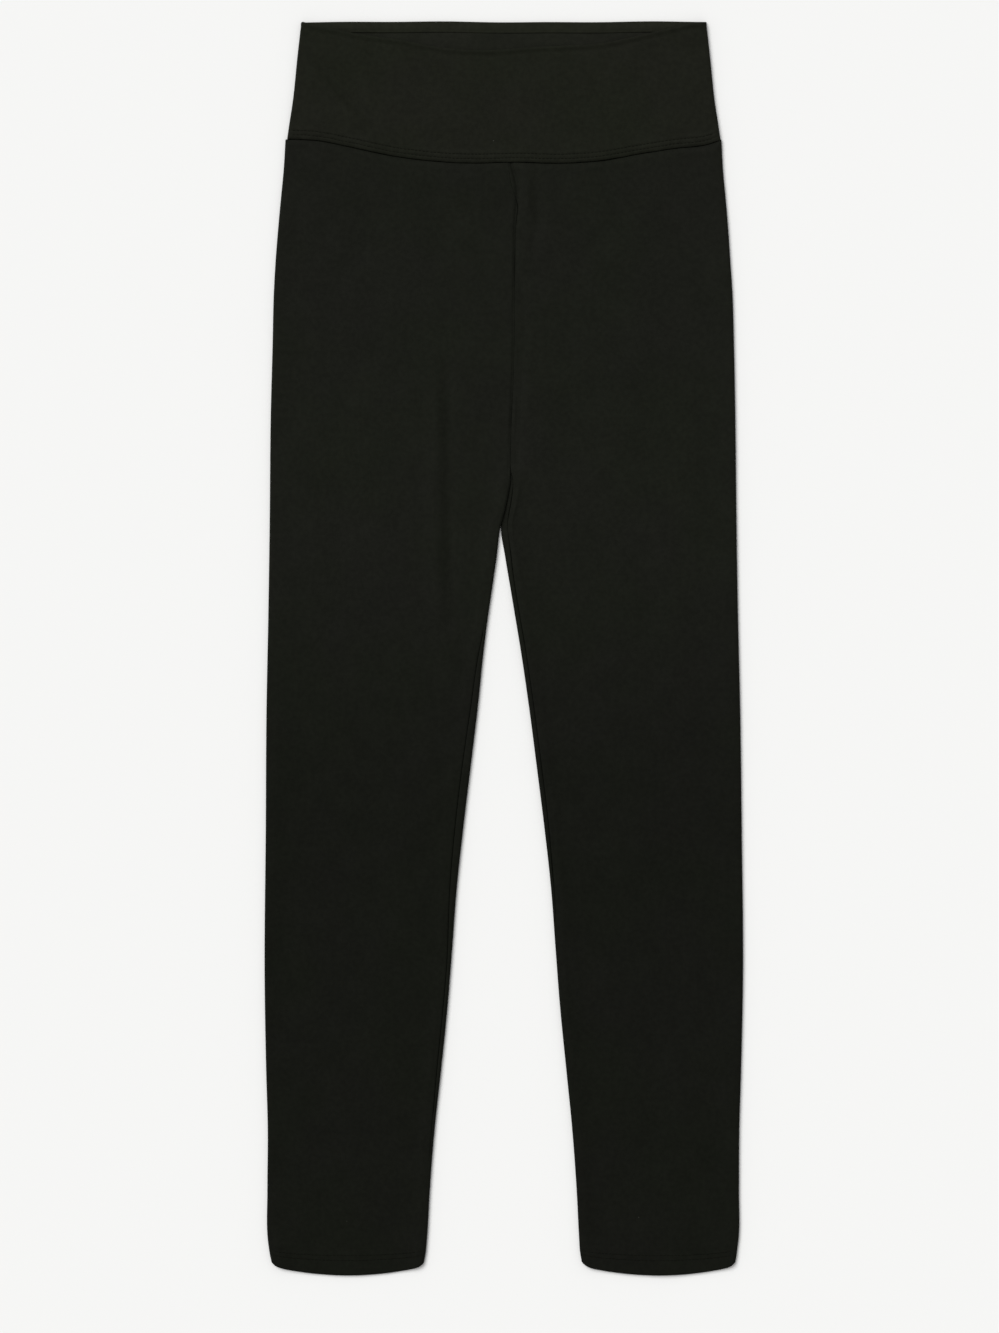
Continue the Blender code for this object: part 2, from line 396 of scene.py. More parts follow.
class Nodes:
    """Short calls for building one material's node tree."""

    def __init__(self, name: str) -> None:
        """Make the material, with its shader and output ready."""
        self.material = bpy.data.materials.new(name)
        self.material.use_nodes = True
        self.tree = self.material.node_tree
        self.shader = self.tree.nodes["Principled BSDF"]

    def add(self, kind: str, **settings: object) -> bpy.types.Node:
        """Add a node of a kind, with its settings."""
        node = self.tree.nodes.new(f"ShaderNode{kind}")
        for key, value in settings.items():
            setattr(node, key, value)
        return node

    def feed(self, node: bpy.types.Node, socket: str | int, value: object) -> None:
        """Link an output to a node's input, or set the input's value."""
        if isinstance(value, bpy.types.NodeSocket):
            self.tree.links.new(value, node.inputs[socket])
        else:
            node.inputs[socket].default_value = value

    def math(self, operation: str, *values: object) -> bpy.types.NodeSocket:
        """The result of a Math node on links or numbers."""
        node = self.add("Math", operation=operation)
        for index, value in enumerate(values):
            self.feed(node, index, value)
        return node.outputs[0]

    def noise(
        self, vector: bpy.types.NodeSocket, scale: float, detail: float, roughness: float = 0.5
    ) -> bpy.types.NodeSocket:
        """A noise pattern over a position, about 0 to 1."""
        node = self.add("TexNoise")
        self.feed(node, "Vector", vector)
        self.feed(node, "Scale", scale)
        self.feed(node, "Detail", detail)
        self.feed(node, "Roughness", roughness)
        return node.outputs["Fac"]

    def spread(
        self, value: bpy.types.NodeSocket, low: float, high: float, out: tuple[float, float]
    ) -> bpy.types.NodeSocket:
        """Map low to high onto the out range, held at its ends."""
        node = self.add("MapRange", interpolation_type="SMOOTHSTEP")
        self.feed(node, "Value", value)
        self.feed(node, "From Min", low)
        self.feed(node, "From Max", high)
        self.feed(node, "To Min", out[0])
        self.feed(node, "To Max", out[1])
        return node.outputs[0]

    def blend(
        self, share: bpy.types.NodeSocket, first: object, second: object
    ) -> bpy.types.NodeSocket:
        """Mix two colours by a share."""
        node = self.add("Mix", data_type="RGBA")
        self.feed(node, 0, share)
        self.feed(node, 6, first)
        self.feed(node, 7, second)
        return node.outputs[2]


@dataclass(frozen=True)
class Jersey:
    """Matt, almost black cotton jersey: fine knit, faint mottling, a soft nap and, where set, painted shade
    towards the hem.
    """

    name: str
    colour: tuple[float, float, float]
    warm: tuple[float, float, float]
    # Painted shade: the share of the colour left at the hem end, standing for the light falling off from the
    # waist end.
    hem_shade: float = 1.0
    roughness: float = 0.7
    specular: float = 0.03
    sheen: float = 0.015
    sheen_roughness: float = 0.45
    # Painted shade: the positions along the garment's length, in metres of the frame, between which the
    # colour darkens towards the hem.
    shade_from: float = 0.13
    shade_to: float = -0.16
    wale: float = 0.00072
    course: float = 0.00056
    knit_depth: float = 0.00006
    lint_strength: float = 0.35

    def knit(self, nodes: Nodes) -> bpy.types.NodeSocket:
        """The height of the knit: rows of small v-shaped loops along the cloth.

        Args:
            nodes: The material's node tree.

        Returns:
            The socket that gives the height, 0 to 1.
        """
        place = nodes.add("UVMap", uv_map="Cloth")
        split = nodes.add("SeparateXYZ")
        nodes.feed(split, 0, place.outputs[0])
        wobble = nodes.noise(place.outputs[0], 260.0, 2.0)
        shift = nodes.math("MULTIPLY", nodes.math("SUBTRACT", wobble, 0.5), 0.5)
        column = nodes.math("ADD", nodes.math("DIVIDE", split.outputs[0], self.wale), shift)
        arm = nodes.math("ABSOLUTE", nodes.math("SUBTRACT", nodes.math("FRACT", column), 0.5))
        row = nodes.math("DIVIDE", split.outputs[1], self.course)
        slanted = nodes.math("ADD", row, nodes.math("MULTIPLY", arm, 1.5))
        loop = nodes.math("SINE", nodes.math("MULTIPLY", slanted, 2.0 * math.pi))
        groove = nodes.math("SINE", nodes.math("MULTIPLY", arm, 2.0 * math.pi))
        both = nodes.math("ADD", nodes.math("MULTIPLY", loop, 0.25), nodes.math("MULTIPLY", groove, 0.6))
        return nodes.math("ADD", both, 0.3)

    def material(self) -> bpy.types.Material:
        """Build the finish."""
        nodes = Nodes(self.name)
        place = nodes.add("TexCoord").outputs["Object"]
        broad = nodes.spread(nodes.noise(place, 9.0, 3.0), 0.34, 0.66, (0.0, 1.0))
        fine = nodes.spread(nodes.noise(place, 260.0, 4.0, 0.65), 0.3, 0.7, (0.88, 1.12))
        patch = nodes.spread(nodes.noise(place, 40.0, 3.0), 0.32, 0.68, (0.96, 1.04))
        tone = nodes.math("MULTIPLY", fine, patch)
        split = nodes.add("SeparateXYZ")
        nodes.feed(split, 0, place)
        # Painted shade: the colour darkens lengthwise towards the hem, standing in for the light falling off
        # from the waist end.
        painted_falloff = nodes.spread(split.outputs[1], self.shade_to, self.shade_from, (self.hem_shade, 1.0))
        tone = nodes.math("MULTIPLY", tone, painted_falloff)
        cloth = nodes.blend(broad, (*self.colour, 1.0), (*self.warm, 1.0))
        shade = nodes.add("HueSaturation")
        nodes.feed(shade, "Color", cloth)
        nodes.feed(shade, "Value", tone)
        specks = nodes.add("TexVoronoi", feature="F1")
        nodes.feed(specks, "Vector", place)
        nodes.feed(specks, "Scale", 34.0)
        rare = nodes.math("GREATER_THAN", nodes.noise(place, 23.0, 1.0), 0.58)
        dot = nodes.math("LESS_THAN", specks.outputs["Distance"], 0.022)
        lint = nodes.math("MULTIPLY", nodes.math("MULTIPLY", rare, dot), self.lint_strength)
        colour = nodes.blend(lint, shade.outputs[0], (0.09, 0.092, 0.08, 1.0))
        nodes.feed(nodes.shader, "Base Color", colour)

        nap = nodes.noise(place, 900.0, 2.0)
        height = nodes.math("ADD", self.knit(nodes), nodes.math("MULTIPLY", nap, 0.8))
        bump = nodes.add("Bump")
        nodes.feed(bump, "Height", height)
        nodes.feed(bump, "Distance", self.knit_depth)
        nodes.feed(bump, "Strength", 0.6)
        nodes.feed(nodes.shader, "Normal", bump.outputs[0])
        rough = nodes.spread(nodes.noise(place, 60.0, 3.0), 0.3, 0.7, (-0.05, 0.05))
        nodes.feed(nodes.shader, "Roughness", nodes.math("ADD", rough, self.roughness))
        nodes.feed(nodes.shader, "Specular IOR Level", self.specular)
        nodes.feed(nodes.shader, "Sheen Weight", self.sheen)
        nodes.feed(nodes.shader, "Sheen Roughness", self.sheen_roughness)
        nodes.feed(nodes.shader, "Sheen Tint", (0.93, 0.95, 0.86, 1.0))
        return nodes.material


@dataclass(frozen=True)
class Thread:
    """Black sewing thread with a fine twist, as matt as the cloth."""

    name: str
    colour: tuple[float, float, float]
    roughness: float = 0.7
    specular: float = 0.03

    def material(self) -> bpy.types.Material:
        """Build the finish."""
        nodes = Nodes(self.name)
        place = nodes.add("TexCoord").outputs["Object"]
        tone = nodes.spread(nodes.noise(place, 700.0, 2.0), 0.3, 0.7, (0.75, 1.25))
        shade = nodes.add("HueSaturation")
        nodes.feed(shade, "Color", (*self.colour, 1.0))
        nodes.feed(shade, "Value", tone)
        nodes.feed(nodes.shader, "Base Color", shade.outputs[0])
        bump = nodes.add("Bump")
        nodes.feed(bump, "Height", nodes.noise(place, 2600.0, 1.0))
        nodes.feed(bump, "Distance", 0.00005)
        nodes.feed(nodes.shader, "Normal", bump.outputs[0])
        nodes.feed(nodes.shader, "Roughness", self.roughness)
        nodes.feed(nodes.shader, "Specular IOR Level", self.specular)
        return nodes.material


# --------------------------------------------------------------------------------------
# The garment's lines
# --------------------------------------------------------------------------------------


@dataclass(frozen=True)
class Lines:
    """The edges and seams of the garment as it lies."""

    length: float = 1003.0
    side_seam: float = 94.6
    front_top: Profile = Profile(
        (
            -174, -160, -151, -134, -116, -100, -84, -58, -33, -3,
            19, 50, 80, 95, 107, 126, 137, 147, 160, 174,
        ),
        (
            0.8, 0.8, 3.8, 6.6, 10.4, 12.8, 14.8, 19.8, 22.8, 22.8,
            21.0, 19.6, 17.4, 14.6, 11.8, 7.2, 4.8, 2.2, 0.8, 0.8,
        ),
    )
    waist_seam: Profile = Profile(
        (-174, -152, -121, -87, -58, -24, 8, 44, 75, 111, 135, 165, 174),
        (94.6, 95.4, 101.2, 108.3, 112.0, 113.8, 113.0, 113.8, 112.0, 106.0, 102.2, 98.2, 95.0),
    )
    band_side: Profile = Profile((0, 30, 62, 86, 94.6), (161.7, 165.1, 168.4, 172.0, 173.2))
    centre_front: Profile = Profile(
        (96, 113, 130, 139, 150, 181, 246, 290, 326, 350, 371, 378, 387, 402, 430, 454, 502, 550, 598, 1003),
        (
            4.0, 5.8, 10.2, 11.2, 10.2, 9.2, 8.7, 7.6, 6.0, 5.4,
            4.8, 3.4, 1.4, -2.2, -2.2, -2.0, -1.2, -0.2, 0.0, -0.4,
        ),
    )
    centre_back: Profile = Profile((94, 190, 262, 326, 356), (-6.0, -5.0, -3.0, 2.0, 5.2))


@dataclass(frozen=True)
class LegLines:
    """One leg's outline: its outer side and inner edge, and where the inseam lies in from it."""

    outer: Profile
    inner: Profile
    inseam: Profile


OUTER_DOWN = (
    94, 118, 142, 166, 190, 214, 262, 310, 406, 478,
    550, 646, 766, 838, 886, 934, 974, 982, 990, 996,
)
INNER_DOWN = (
    356, 372, 402, 409, 430, 454, 478, 502, 550, 598,
    646, 694, 742, 790, 838, 886, 934, 974, 984, 996,
)
LEG_LINES = {
    Side.RIGHT: LegLines(
        outer=Profile(
            OUTER_DOWN,
            (
                174.5, 175.9, 178.2, 180.4, 182.3, 183.7, 184.9, 186.2, 187.2, 188.3,
                189.7, 190.3, 191.2, 190.0, 188.7, 189.0, 188.7, 187.8, 186.6, 185.4,
            ),
        ),
        inner=Profile(
            INNER_DOWN,
            (
                -1.0, -0.25, -0.2, 0.6, 3.7, 7.4, 11.2, 14.7, 20.7, 26.7,
                32.6, 37.8, 41.4, 45.2, 50.0, 55.1, 58.8, 61.0, 61.8, 63.6,
            ),
        ),
        inseam=Profile(
            (356, 402, 478, 510, 558, 660, 702, 750, 798, 846, 882, 930, 1003),
            (0.8, 1.0, 1.6, 4.0, 6.0, 6.4, 5.2, 3.4, 3.5, 3.2, 2.2, 1.4, 0.9),
        ),
    ),
    Side.LEFT: LegLines(
        outer=Profile(
            OUTER_DOWN,
            (
                174.0, 175.2, 177.4, 179.4, 181.0, 182.6, 184.1, 185.0, 186.1, 187.3,
                189.0, 190.2, 191.2, 189.7, 188.3, 188.0, 187.7, 186.8, 185.9, 184.9,
            ),
        ),
        inner=Profile(
            INNER_DOWN,
            (
                -1.0, -0.25, -0.2, 0.6, 3.5, 7.4, 11.1, 14.6, 20.6, 26.6,
                32.5, 37.7, 41.3, 45.1, 50.0, 54.9, 58.5, 60.6, 61.2, 62.9,
            ),
        ),
        inseam=Profile(
            (356, 402, 430, 478, 560, 646, 690, 740, 850, 1003),
            (0.8, 1.2, 3.0, 3.8, 4.0, 3.6, 2.4, 1.2, 1.0, 0.9),
        ),
    ),
}


# --------------------------------------------------------------------------------------
# Legs
# --------------------------------------------------------------------------------------


@dataclass
class Leg:
    """One leg: a cut piece folded at its outer side, seamed in front, behind and inside.

    Above the crotch its section is open towards the other leg; below it the section turns
    round the inner edge and closes at the inseam.
    """

    side: Side
    lines: Lines
    outline: LegLines
    creases: Sequence[Crease]
    back_creases: Sequence[Crease]
    wall: float = 0.9
    hem_wall: float = 1.7
    fold_radius: float = 2.05
    rest_height: float = 3.1
    waist_height: float = 4.1
    # Below 0 the cloth laps past its seam line, so that no light shows between two skins.
    seam_gap: float = -0.05
    crotch: float = 352.0
    crotch_length: float = 16.0
    hem_bow: float = 7.7
    hem_row: float = 983.0
    fold_lean: float = 0.0
    flat_strip: float = 5.0

    @property
    def sign(self) -> int:
        """1 for the wearer's left leg and -1 for the right."""
        return self.side.value

    def nominal_rows(self) -> Array:
        """Rows from the waist seam to the hem, closer at the seams, crotch and hem."""
        first = self.lines.side_seam + self.seam_gap + self.wall / 2
        last = self.lines.length - self.hem_bow - self.hem_wall / 2
        return np.concatenate(
            (
                np.linspace(first, 108.0, 15, endpoint=False),
                np.linspace(108.0, 340.0, 58, endpoint=False),
                np.linspace(340.0, 412.0, 36, endpoint=False),
                np.linspace(412.0, 966.0, 134, endpoint=False),
                np.linspace(966.0, last, 24),
            )
        )

    def closed(self, down: Array) -> Array:
        """How far the section has closed round the inner edge: 0 above the crotch, 1 below."""
        return ease(down, self.crotch, self.crotch + self.crotch_length)

    def front_height(self, across: Array, down: Array) -> Array:
        """The front skin's height off the table.

        Args:
            across: Positions across.
            down: Positions down, along the bent rows.

        Returns:
            Heights in millimetres.
        """
        outer_turn = self.outline.outer(down) - self.fold_radius
        centre = self.lines.centre_front(down)
        inner_turn = self.sign * centre + self.outline.inner(down) + self.fold_radius
        out = self.sign * across
        from_outer = np.maximum(outer_turn - out, 0.0)
        from_inner = np.maximum(out - inner_turn, 0.0)
        seam_down = self.lines.waist_seam(across)
        rest = self.rest_height + (self.waist_height - self.rest_height) * (
            1.0 - ease(down, seam_down, seam_down + 55.0)
        )
        fold = 2.0 * self.fold_radius - rest
        closed = self.closed(down)
        height = rest + fold * hump(from_outer, 13.0) + fold * closed * hump(from_inner, 10.0)
        relief = 2.2 * ripples(across, down)
        for crease in self.creases:
            relief = relief + crease.height(across, down)
        relief = relief * ease(from_outer, -1.0, 7.0)
        relief = relief * (1.0 - closed * (1.0 - ease(from_inner, -0.5, 5.0)))
        height = height + relief

        off_seam = np.abs(across - centre)
        seam_zone = (1.0 - closed) * (1.0 - ease(down, self.crotch + 4.0, self.crotch + 12.0))
        height = height - seam_zone * 1.5 * hump(off_seam, 1.5)
        off_waist = down - seam_down
        height = height - 0.75 * hump(off_waist, 1.9) + 0.3 * hump(off_waist - 5.0, 3.0)
        off_inseam = out - self.sign * centre - self.outline.inner(down) - self.outline.inseam(down)
        height = height - closed * 0.4 * hump(off_inseam, 0.9)
        height = height + closed * 0.3 * hump(off_inseam - 5.5, 3.0)
        off_hem = down - self.hem_row
        height = height - 0.22 * (hump(off_hem, 0.9) + hump(off_hem - 3.2, 0.9))
        height = height + 0.35 * ease(down, self.hem_row - 1.0, self.hem_row + 2.0)
        return np.maximum(height, self.back_height(across, down) + 2.0 * self.wall + 0.1)

    def back_height(self, across: Array, down: Array) -> Array:
        """The back skin's height off the table: flat, with a few shallow raised creases."""
        height = np.zeros(np.broadcast(across, down).shape)
        for crease in self.back_creases:
            height = height + crease.height(across, down)
        centre = self.lines.centre_back(down)
        seam_zone = 1.0 - ease(down, self.crotch - 6.0, self.crotch + 4.0)
        height = height + seam_zone * 0.5 * hump(np.abs(across - centre), 1.2)
        height = height + 0.45 * hump(down - self.lines.side_seam, 1.5)
        height = height + 0.3 * (hump(down - self.hem_row, 0.9) + hump(down - self.hem_row - 3.2, 0.9))
        return np.maximum(height, 0.0)

    def bent_down(self, across: Array, nominal: Array, front: Array) -> Array:
        """Where a row's points really lie: bent along the waist seam and bowed at the hem.

        Args:
            across: Positions across.
            nominal: The row's place at the side of the leg.
            front: 1 for points of the front and 0 for points of the back.

        Returns:
            Positions down.
        """
        dip = self.lines.waist_seam(across) - self.lines.side_seam
        near_waist = 1.0 - ease(nominal, self.lines.side_seam, 190.0)
        outer = self.outline.outer(nominal)
        inner = self.outline.inner(nominal)
        half = (outer - inner) / 2
        out = self.sign * across
        off_middle = np.clip((out - inner - half) / half, -1.0, 1.0)
        last = self.lines.length - self.hem_bow
        near_hem = np.clip((nominal - 860.0) / (last - 860.0), 0.0, 1.0) ** 8
        bow = self.hem_bow * (1.0 - off_middle**2)
        to_fold = np.minimum(outer - out, out - inner)
        corner = 3.0 * np.exp(-np.maximum(to_fold, 0.0) / 3.2)
        return nominal + front * dip * near_waist + (bow - corner) * near_hem

    def open_section(self, down: Array, shares: dict[str, Array]) -> tuple[Array, Array]:
        """The section above the crotch, as across and up, before creases."""
        radius = self.fold_radius
        sign = self.sign
        front_edge = self.lines.centre_front(down) + sign * (self.seam_gap + self.wall / 2)
        back_edge = self.lines.centre_back(down) + sign * (self.seam_gap + self.wall / 2)
        turn = sign * (self.outline.outer(down) - radius)
        front = front_edge + (turn - front_edge) * shares["front"]
        back_turn = back_edge + sign * self.flat_strip
        back = turn + (back_turn - turn) * shares["back"]
        strip = back_turn + (back_edge - back_turn) * shares["inner"]
        angle = math.pi * shares["fold"]
        fold = turn + sign * radius * np.sin(angle)
        across = np.concatenate((front, fold, back, strip), axis=1)
        up = np.concatenate(
            (
                np.full_like(front, np.nan),
                np.broadcast_to(radius * (1.0 + np.cos(angle)), fold.shape),
                np.zeros_like(back),
                np.zeros_like(strip),
            ),
            axis=1,
        )
        return across, up

    def closed_section(self, down: Array, shares: dict[str, Array]) -> tuple[Array, Array]:
        """The section of a closed tube, as across and up, before creases."""
        radius = self.fold_radius
        sign = self.sign
        inner = self.lines.centre_front(down) + sign * self.outline.inner(down)
        inset = self.outline.inseam(down)
        on_fold = radius * (math.pi - np.arcsin(np.clip(1.0 - inset / radius, 0.0, 1.0)))
        past_fold = math.pi * radius + inset - radius
        seam = np.where(inset < radius, on_fold, past_fold)
        gap = self.seam_gap + self.wall / 2
        turn = sign * (self.outline.outer(down) - radius)
        reach = np.abs(turn - inner) - radius
        front_start = seam + gap
        full = math.pi * radius + reach
        front_path = front_start + (full - front_start) * shares["front"]
        inner_path = (seam - gap) * shares["inner"]

        def along(path: Array) -> tuple[Array, Array]:
            angle = np.minimum(path / radius, math.pi)
            flat = np.maximum(path - math.pi * radius, 0.0)
            across = inner + sign * (radius * (1.0 - np.sin(angle)) + flat)
            up = radius * (1.0 - np.cos(angle))
            return across, np.where(angle >= math.pi - 1e-9, np.nan, up)

        front, front_up = along(front_path)
        strip, strip_up = along(inner_path)
        back_turn = inner + sign * radius
        back = turn + (back_turn - turn) * shares["back"]
        angle = math.pi * shares["fold"]
        fold = turn + sign * radius * np.sin(angle)
        fold_up = np.broadcast_to(radius * (1.0 + np.cos(angle)), fold.shape)
        across = np.concatenate((front, fold, back, strip), axis=1)
        up = np.concatenate((front_up, fold_up, np.zeros_like(back), strip_up), axis=1)
        return across, up

    def skin(self) -> tuple[Array, Array, Array, Array]:
        """The leg's outer skin.

        Returns:
            Across, down and up of each point, and the wall there, as rows by columns.
        """
        near_seam = np.linspace(0.0, 0.05, 15, endpoint=False)
        shares = {
            "front": np.concatenate((near_seam, np.linspace(0.05, 1.0, 80)))[None, :],
            "fold": np.linspace(0.0, 1.0, 11)[None, 1:-1],
            "back": np.linspace(0.0, 1.0, 40)[None, :-1],
            "inner": np.linspace(0.0, 1.0, 15)[None, :],
        }
        nominal = self.nominal_rows()[:, None]
        open_across, open_up = self.open_section(nominal, shares)
        closed_across, closed_up = self.closed_section(nominal, shares)
        closed = self.closed(nominal)
        across = open_across + (closed_across - open_across) * closed

        columns = across.shape[1]
        front_columns = shares["front"].shape[1]
        front = np.zeros((1, columns))
        front[:, :front_columns] = 1.0
        down = self.bent_down(across, nominal, front)
        raised = self.front_height(across, down)
        open_up = np.where(np.isnan(open_up), raised, open_up)
        closed_up = np.where(np.isnan(closed_up), raised, closed_up)
        up = open_up + (closed_up - open_up) * closed
        lying = (up < 1e-6) & (front < 0.5)
        up = np.where(lying, self.back_height(across, down), up)
        lean = self.fold_lean * hump(nominal - 400.0, 34.0) * closed
        inner_side = self.lines.centre_front(nominal) + self.sign * self.outline.inner(nominal)
        near_inner = 1.0 - ease(self.sign * (across - inner_side), 2.0, 12.0)
        above_middle = ease(up, 0.6 * self.fold_radius, 2.0 * self.fold_radius)
        across = across + self.sign * lean * near_inner * above_middle
        strip = np.zeros((1, columns))
        strip[:, -shares["inner"].shape[1] :] = 1.0
        up = up * (1.0 - 0.13 * np.abs(lean) * strip)
        hem = ease(nominal, self.hem_row - 1.2, self.hem_row)
        wall = np.broadcast_to(self.wall + (self.hem_wall - self.wall) * hem, across.shape)
        return across, down, up, wall

    def build(self, lay: Lay, finish: bpy.types.Material, name: str) -> tuple[Shell, bpy.types.Object]:
        """Make the leg's shell.

        Args:
            lay: Where the garment lies.
            finish: The cloth's material.
            name: The piece's name.

        Returns:
            The shell and its object.
        """
        across, down, up, wall = self.skin()
        if self.side is Side.RIGHT:
            across, down, up, wall = (values[:, ::-1] for values in (across, down, up, wall))
        shell = Shell(name, lay.place(across, down, up), wall * MM)
        return shell, shell.build(finish)


# --------------------------------------------------------------------------------------
# Waistband
# --------------------------------------------------------------------------------------


@dataclass
class BandFront:
    """The front of the waistband: double cloth with a dipped, rolled top edge."""

    lines: Lines
    creases: Sequence[Crease]
    wall: float = 1.6
    height: float = 4.5
    side_radius: float = 2.0
    lowest: float = 2.45
    # Below 0 the cloth laps past its seam line, so that no light shows between two skins.
    seam_gap: float = -0.05
    stitch_rows: tuple[float, float] = (3.6, 7.2)

    def surface(self, across: Array, down: Array) -> Array:
        """The front skin's height off the table.

        Args:
            across: Positions across.
            down: Positions down.

        Returns:
            Heights in millimetres.
        """
        outer = self.lines.band_side(down)
        to_side = np.maximum(outer - self.side_radius - np.abs(across), 0.0)
        relief = 1.6 * ripples(across + 400.0, down)
        for crease in self.creases:
            relief = relief + crease.height(across, down)
        height = self.height + relief * ease(to_side, -0.5, 9.0)
        above_seam = self.lines.waist_seam(across) - down
        height = height + 0.4 * ease(above_seam, 11.0, 7.5)
        for row in self.stitch_rows:
            height = height - 0.34 * pucker(across + 9.0 * row) * hump(above_seam - row, 0.8)
        height = height - 0.95 * pucker(across + 60.0) * hump(above_seam, 1.7)
        below_top = down - self.lines.front_top(across)
        height = height + 0.6 * hump(below_top - 1.4, 1.5) - 0.4 * hump(below_top - 5.2, 1.8)
        return np.maximum(height, 3.3)

    def skin(self) -> tuple[Array, Array, Array, Array]:
        """The outer skin, as across, down, up and wall, rows from the top edge down."""
        half = self.wall / 2
        side_start = 0.8 + half
        side_end = self.lines.side_seam - self.seam_gap - half
        share = np.concatenate(
            (
                np.linspace(0.0, 0.085, 10, endpoint=False),
                np.linspace(0.085, 0.88, 34, endpoint=False),
                np.linspace(0.88, 1.0, 22),
            )
        )[:, None]
        side_down = side_start + (side_end - side_start) * share
        outer = self.lines.band_side(side_down)
        flat = (outer - self.side_radius) * np.linspace(-1.0, 1.0, 181)[None, :]
        turned = np.linspace(0.0, math.pi / 2, 6)[None, 1:]
        side_out = outer - self.side_radius + self.side_radius * np.sin(turned)
        side_up = self.height - self.side_radius * (1.0 - np.cos(turned))
        side_up = np.broadcast_to(side_up, side_out.shape)
        across = np.concatenate((-outer, -side_out[:, ::-1], flat, side_out, outer), axis=1)
        top = self.lines.front_top(across) + half
        seam = self.lines.waist_seam(across) - self.seam_gap - half
        down = top + (seam - top) * share
        ends = np.full_like(outer, self.lowest)
        up = np.concatenate(
            (ends, side_up[:, ::-1], self.surface(flat, down[:, 6:-6]), side_up, ends), axis=1
        )
        return across, down, up, np.full(across.shape, self.wall)

    def build(self, lay: Lay, finish: bpy.types.Material) -> tuple[Shell, bpy.types.Object]:
        """Make the shell and its object."""
        across, down, up, wall = self.skin()
        shell = Shell("waistband_front_cloth", lay.place(across, down, up), wall * MM)
        return shell, shell.build(finish)


@dataclass
class BandBack:
    """The back of the waistband: it lies on the table and its top edge is turned over."""

    lines: Lines
    wall: float = 0.9
    side_radius: float = 2.0
    fold_radius: float = 1.35
    lip_depth: float = 8.4
    # Below 0 the cloth laps past its seam line, so that no light shows between two skins.
    seam_gap: float = -0.3
    stitch_rows: tuple[float, float] = (3.6, 7.2)

    def top_edge(self, across: Array) -> Array:
        """The slightly uneven top edge."""
        return 0.35 + 0.3 * np.sin(across / 31.0 + 0.6) + 0.2 * np.sin(across / 13.0 + 2.0)

    def skin(self) -> tuple[Array, Array, Array, Array]:
        """The outer skin, as across, down, up and wall, rows from the lip round to the seam."""
        radius = self.fold_radius
        lip = np.linspace(self.lip_depth, radius, 13)[:-1]
        angle = np.linspace(0.0, math.pi, 9)
        bottom = self.lines.side_seam - self.seam_gap - self.wall / 2
        back = np.concatenate((np.linspace(radius, 80.0, 24)[1:], np.linspace(80.0, bottom, 17)[1:]))
        down = np.concatenate((lip, radius - radius * np.sin(angle), back))[:, None]
        up = np.concatenate(
            (np.full(len(lip), 2 * radius), radius * (1.0 + np.cos(angle)), np.zeros(len(back)))
        )[:, None]
        on_back = np.concatenate((np.zeros(len(lip) + len(angle)), np.ones(len(back))))[:, None]
        outer = self.lines.band_side(down)
        sides = ease(down, radius, 14.0) * on_back
        flat = (outer - self.side_radius) * np.linspace(-1.0, 1.0, 141)[None, :]
        turned = np.linspace(0.0, math.pi / 2, 6)[None, 1:]
        rise = self.side_radius * (1.0 - np.cos(turned)) * sides
        side_out = outer - self.side_radius + self.side_radius * np.sin(turned)
        across = np.concatenate((-side_out[:, ::-1], flat, side_out), axis=1)
        across = across * (1.0 - 0.018 * (1.0 - on_back) * ease(up, 1.5, 2.7))
        lift = np.concatenate((rise[:, ::-1], np.zeros_like(flat), rise), axis=1)
        edge = self.top_edge(across) * (1.0 - ease(down, 10.0, 60.0))
        swell = 0.35 * np.sin(across / 23.0) + 0.25 * np.sin(across / 9.5 + 1.0)
        on_lip = (1.0 - on_back) * ease(up, 1.5, 2.7)
        up = up + lift + on_lip * (0.3 + 0.3 * swell - 0.5 * ease(down, 5.0, self.lip_depth))
        above_seam = self.lines.side_seam - down
        for row in self.stitch_rows:
            up = up + on_back * 0.32 * hump(above_seam - row, 0.8)
        up = up + on_back * 0.45 * hump(above_seam, 1.4)
        down = np.broadcast_to(down, across.shape) + edge
        return across[:, ::-1], down[:, ::-1], up[:, ::-1], np.full(across.shape, self.wall)

    def build(self, lay: Lay, finish: bpy.types.Material) -> tuple[Shell, bpy.types.Object]:
        """Make the shell and its object."""
        across, down, up, wall = self.skin()
        shell = Shell("waistband_back_cloth", lay.place(across, down, up), wall * MM)
        return shell, shell.build(finish)


@dataclass
class BandFacing:
    """The back's inner cloth, which shows between the front's dip and the turned-over lip."""

    lines: Lines
    wall: float = 0.8
    height: float = 2.0
    start: float = 6.2
    seam_gap: float = 0.15

    def skin(self) -> tuple[Array, Array, Array, Array]:
        """The outer skin, which faces up, as across, down, up and wall."""
        bottom = self.lines.side_seam - self.seam_gap - self.wall / 2
        down = np.concatenate((np.linspace(self.start, 34.0, 22)[:-1], np.linspace(34.0, bottom, 16)))
        down = down[:, None]
        outer = self.lines.band_side(down) - 2.6
        across = outer * np.linspace(-1.0, 1.0, 121)[None, :]
        swell = 0.5 * ripples(across, down * 2.0 + 90.0)
        lip = 1.0 - ease(down, 8.0, 12.0)
        up = self.height - 0.45 * lip + swell * (1.0 - lip)
        return across, np.broadcast_to(down, across.shape), up, np.full(across.shape, self.wall)

    def build(self, lay: Lay, finish: bpy.types.Material) -> tuple[Shell, bpy.types.Object]:
        """Make the shell and its object."""
        across, down, up, wall = self.skin()
        shell = Shell("waistband_facing_cloth", lay.place(across, down, up), wall * MM)
        return shell, shell.build(finish)


# --------------------------------------------------------------------------------------
# Stitching
# --------------------------------------------------------------------------------------


# The rings along one stitch: how far along it each lies, its share of the thread's radius,
# and how far it is raised, in radii.
STITCH_RINGS = (
    (0.0, 0.45, -0.8),
    (0.16, 0.9, -0.1),
    (0.5, 1.0, 0.1),
    (0.84, 0.9, -0.1),
    (1.0, 0.45, -0.8),
)


